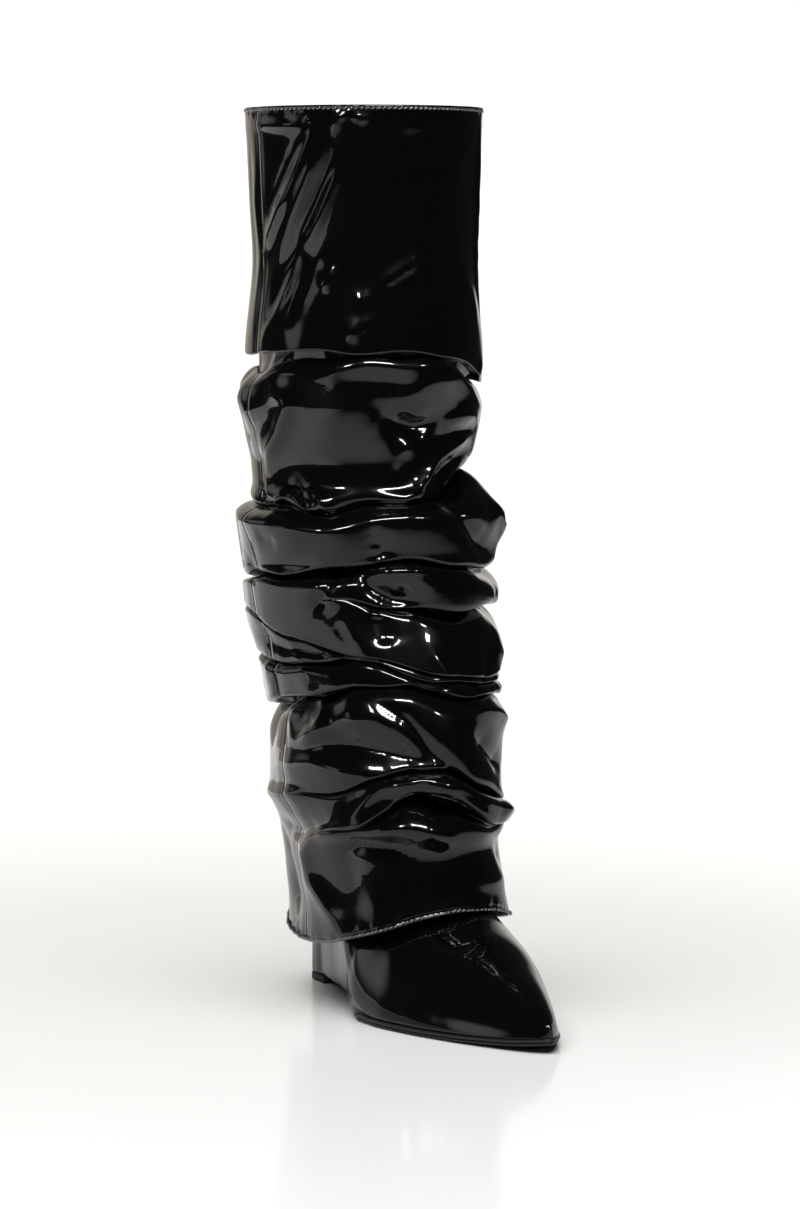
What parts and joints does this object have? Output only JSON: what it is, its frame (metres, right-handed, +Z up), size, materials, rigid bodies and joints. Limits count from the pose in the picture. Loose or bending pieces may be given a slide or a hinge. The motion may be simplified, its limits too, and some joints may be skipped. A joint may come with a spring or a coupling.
{
  "type": "wedge boot",
  "caption": "Right-foot pointed-toe wedge boot in glossy black patent, with a wide scrunched outer shaft to the knee whose hem falls over the vamp.",
  "frame": {"origin": "on the floor under the heel lift", "axes": "+Z up along the leg, -Y towards the toe, +X towards the inner (medial) side of the right foot"},
  "size_m": [0.1406, 0.2728, 0.4801],
  "materials": {
    "patent": "mirror-gloss black patent coating",
    "sole_rubber": "satin moulded black",
    "lift_rubber": "matte black",
    "footbed": "matte woven lining"
  },
  "bodies": {
    "root": {"outsole": "sole_rubber", "heel_lift": "lift_rubber", "wedge_heel": "patent", "insole": "footbed", "upper": "patent", "slouch_shaft": "patent"}
  },
  "joints": []
}
